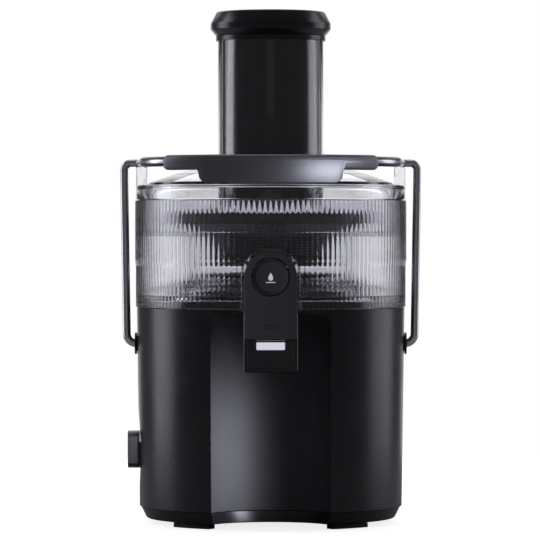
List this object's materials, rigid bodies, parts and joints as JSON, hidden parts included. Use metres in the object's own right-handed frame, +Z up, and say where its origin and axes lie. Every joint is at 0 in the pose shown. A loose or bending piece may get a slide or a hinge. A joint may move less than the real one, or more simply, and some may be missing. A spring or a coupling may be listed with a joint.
{
  "type": "centrifugal juicer",
  "caption": "Centrifugal juicer with a black motor base, clear ribbed bowl, feed chute with pusher, steel locking arm, drip-stop spout and a rear pulp bin.",
  "frame": {"origin": "on the table under the middle of the whole object; the bowl axis is 23 mm in front of it", "axes": "+Z up, -Y to the spout at the front, -X to the speed knob"},
  "size_m": [0.2366, 0.304, 0.4],
  "materials": {
    "black_satin": "satin moulded",
    "clear_smoke": "clear, lightly smoked, glossy",
    "polished_steel": "polished",
    "brushed_steel": "brushed",
    "rubber": "matt",
    "motor_iron": "varnished laminations",
    "copper": "enamelled wire",
    "circuit_board": "solder mask",
    "grey_plastic": "moulded"
  },
  "bodies": {
    "root": {"motor_housing": "black_satin", "jug_bay_wall": "black_satin", "base_tray": "black_satin", "spout_cover": "black_satin", "nozzle": "black_satin", "arm_bush_left": "black_satin", "arm_bush_right": "black_satin", "juice_bowl": "clear_smoke", "spout_channel": "clear_smoke", "lid": "clear_smoke", "feed_tube": "clear_smoke", "upper_bearing": "brushed_steel", "lower_bearing": "brushed_steel", "button_spring": "brushed_steel", "base_screw_1": "brushed_steel", "base_screw_2": "brushed_steel", "base_screw_3": "brushed_steel", "base_screw_4": "brushed_steel", "front_left_foot": "rubber", "front_right_foot": "rubber", "rear_left_foot": "rubber", "rear_right_foot": "rubber", "cord_inlet": "rubber", "lid_seal": "rubber", "shaft_seal": "rubber", "motor_mount_1": "rubber", "motor_mount_2": "rubber", "motor_mount_3": "rubber", "motor_mount_4": "rubber", "motor_stator": "motor_iron", "motor_lower_plate": "motor_iron", "motor_upper_plate": "motor_iron", "brush_holder_left": "copper", "brush_holder_right": "copper", "control_board": "circuit_board", "speed_switch": "grey_plastic", "interlock_switch": "grey_plastic"},
    "lock_arm": {"arm_rod_left": "polished_steel", "arm_rod_right": "polished_steel", "arm_clip_left": "brushed_steel", "arm_clip_right": "brushed_steel", "arm_grip": "black_satin", "grip_panel": "black_satin"},
    "spinner": {"motor_shaft": "brushed_steel", "armature": "copper", "commutator": "copper", "cooling_fan": "grey_plastic", "drive_coupling": "grey_plastic", "basket_hub": "black_satin", "grater_disc": "brushed_steel", "filter_basket": "brushed_steel", "basket_rim": "black_satin"},
    "speed_control": {"speed_knob": "black_satin", "knob_spindle": "brushed_steel"},
    "pusher": {"pusher_body": "black_satin", "pusher_cap": "black_satin"},
    "drip_button": {"drip_stop_button": "black_satin"},
    "drip_gate": {"drip_stop_gate": "brushed_steel"},
    "pulp_drawer": {"pulp_bin": "clear_smoke"}
  },
  "joints": [
    {"name": "arm_swing", "type": "hinge", "parent": "root", "child": "lock_arm", "pos_m": [0, -0.023, 0.1401], "axis": [1, 0, 0], "range_deg": [0, 95]},
    {"name": "basket_spin", "type": "hinge", "parent": "root", "child": "spinner", "pos_m": [0, -0.023, 0.206], "axis": [0, 0, 1], "continuous": true},
    {"name": "knob_turn", "type": "hinge", "parent": "root", "child": "speed_control", "pos_m": [-0.102, -0.023, 0.057], "axis": [-1, 0, 0], "range_deg": [0, 90]},
    {"name": "pusher_slide", "type": "slide", "parent": "root", "child": "pusher", "axis": [0, 0, 1], "range_m": [0, 0.13]},
    {"name": "button_press", "type": "slide", "parent": "root", "child": "drip_button", "axis": [0, 1, 0], "range_m": [0, 0.004], "stiffness_N_per_m": 400, "deforming": ["button_spring"]},
    {"name": "gate_lift", "type": "slide", "parent": "root", "child": "drip_gate", "axis": [0, 0, 1], "range_m": [0, 0.008]},
    {"name": "bin_slide", "type": "slide", "parent": "root", "child": "pulp_drawer", "axis": [0, 1, 0], "range_m": [0, 0.15]}
  ],
  "couplings": [
    {"joint": "gate_lift", "follows": "button_press", "ratio": 2}
  ]
}
